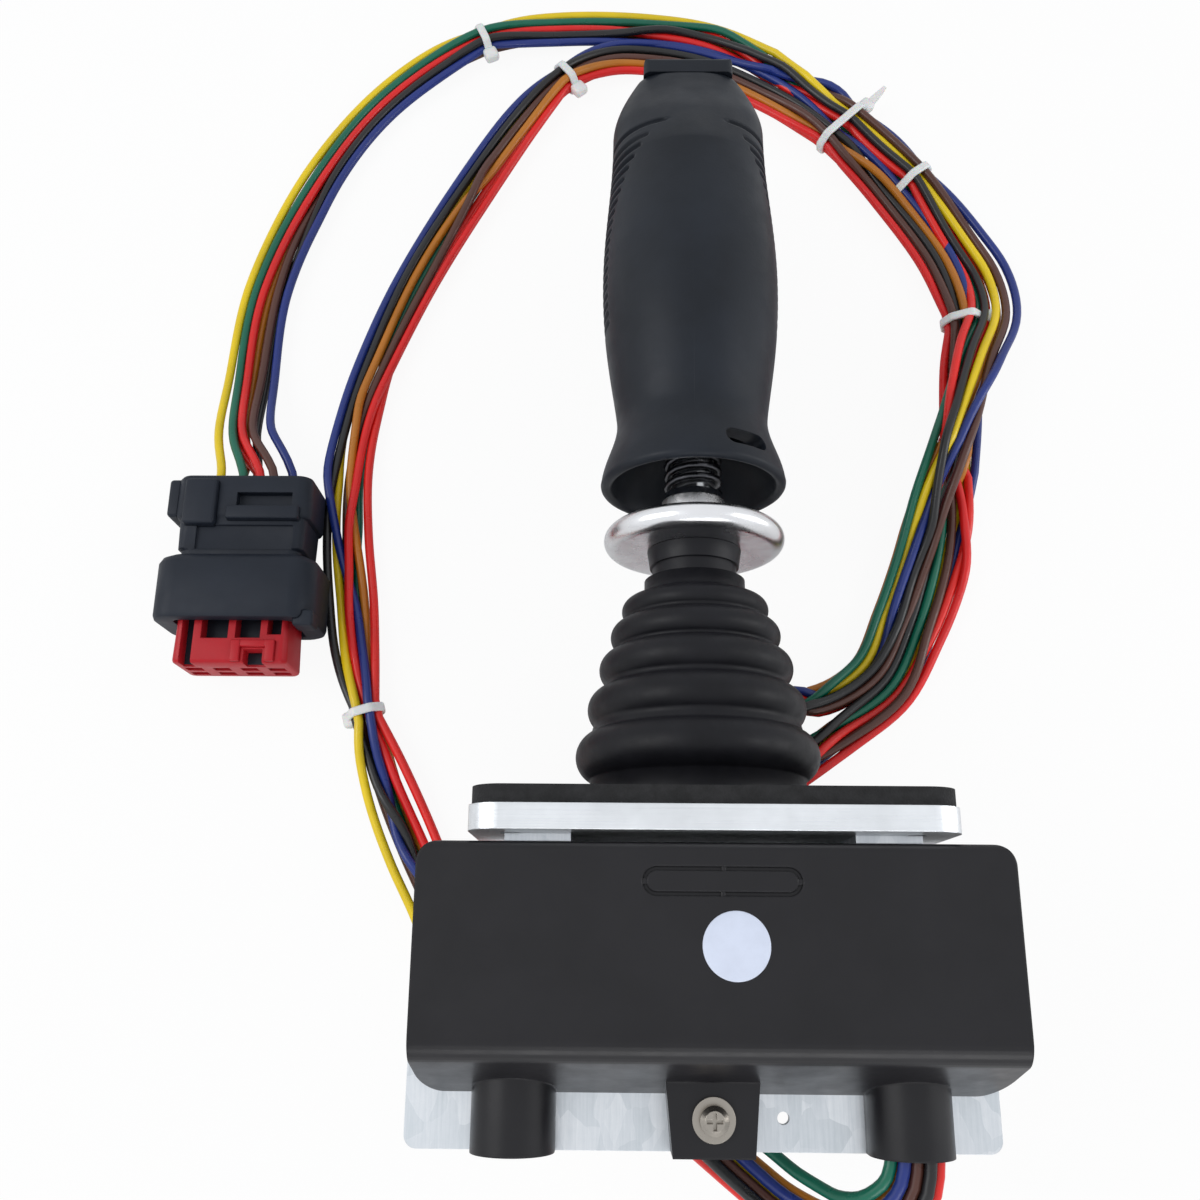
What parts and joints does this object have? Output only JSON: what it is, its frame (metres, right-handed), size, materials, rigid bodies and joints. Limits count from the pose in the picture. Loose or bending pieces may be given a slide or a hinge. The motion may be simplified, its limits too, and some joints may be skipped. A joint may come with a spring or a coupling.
{
  "type": "industrial joystick",
  "caption": "Hand controller that tilts both ways: moulded grip, lift-to-unlock ring, rubber bellows, square panel flange, gimbal, electronics box and a loose wiring harness with a sealed plug.",
  "frame": {"origin": "where the stick axis crosses the top face of the flange plate", "axes": "+Y up the stick towards the grip, +Z out of the electronics box and away from the surface the unit lies on, +X to the right"},
  "size_m": [0.2322, 0.3396, 0.092],
  "materials": {
    "flange_alloy": "brushed",
    "foam_black": "matt foam",
    "boot_rubber": "satin",
    "gate_steel": "machined",
    "housing_cast": "die-cast, grey",
    "screw_steel": "zinc plated",
    "bush_brass": "machined",
    "sensor_black": "matt",
    "spring_dark": "oiled spring steel",
    "gimbal_steel": "machined",
    "stick_steel": "ground",
    "neck_black": "satin",
    "grip_black": "fine satin",
    "insert_alloy": "turned",
    "ring_alloy": "polished",
    "washer_chrome": "polished",
    "plate_zinc": "galvanised, spangled",
    "box_black": "semi-gloss",
    "board_green": "solder mask",
    "nylon_natural": "matt",
    "grommet_black": "matt",
    "wire_bundle": "satin insulation",
    "tie_white": "satin",
    "plug_grey": "satin",
    "seal_grey": "matt",
    "plug_red": "satin"
  },
  "bodies": {
    "base": {"flange_plate": "flange_alloy", "panel_gasket": "foam_black", "bellows_boot": "boot_rubber", "limiter_gate": "gate_steel", "gimbal_housing": "housing_cast", "bottom_cover": "housing_cast", "housing_screws": "screw_steel", "cover_screws": "screw_steel", "trunnion_bushes": "bush_brass", "fore_aft_sensor": "sensor_black", "fore_aft_spring": "spring_dark", "back_plate": "plate_zinc", "plate_angles": "plate_zinc", "bracket_screws": "screw_steel", "box_cover": "box_black", "circuit_board": "board_green", "board_spacers": "nylon_natural", "lug_screw": "screw_steel", "lug_washer": "screw_steel", "lug_nut": "screw_steel", "duct_grommet": "grommet_black", "harness": "wire_bundle", "cable_ties": "tie_white", "plug_body": "plug_grey", "plug_seal": "seal_grey", "plug_lock": "plug_red"},
    "yoke": {"gimbal_frame": "gimbal_steel", "side_sensor": "sensor_black", "side_spring": "spring_dark"},
    "stick": {"pivot_block": "gimbal_steel", "cross_pins": "screw_steel", "stick_shaft": "stick_steel", "neck_collar": "neck_black", "grip_body": "grip_black", "grip_insert": "insert_alloy", "grip_nut": "screw_steel", "grip_cap": "grip_black", "lock_spring": "spring_dark"},
    "lock": {"lock_ring": "ring_alloy", "spring_washer": "washer_chrome", "lock_rod": "stick_steel", "lock_pin": "screw_steel"}
  },
  "joints": [
    {"name": "fore_aft", "type": "hinge", "parent": "base", "child": "yoke", "pos_m": [0, -0.0245, 0], "axis": [1, 0, 0], "range_deg": [-18, 18], "stiffness_Nm_per_rad": 8, "deforming": ["bellows_boot"]},
    {"name": "left_right", "type": "hinge", "parent": "yoke", "child": "stick", "pos_m": [0, -0.0245, 0], "axis": [0, 0, 1], "range_deg": [-18, 18], "stiffness_Nm_per_rad": 8, "deforming": ["bellows_boot"]},
    {"name": "lock_lift", "type": "slide", "parent": "stick", "child": "lock", "axis": [0, 1, 0], "range_m": [0, 0.006], "stiffness_N_per_m": 1500, "springref_m": -0.004, "deforming": ["lock_spring"]}
  ]
}
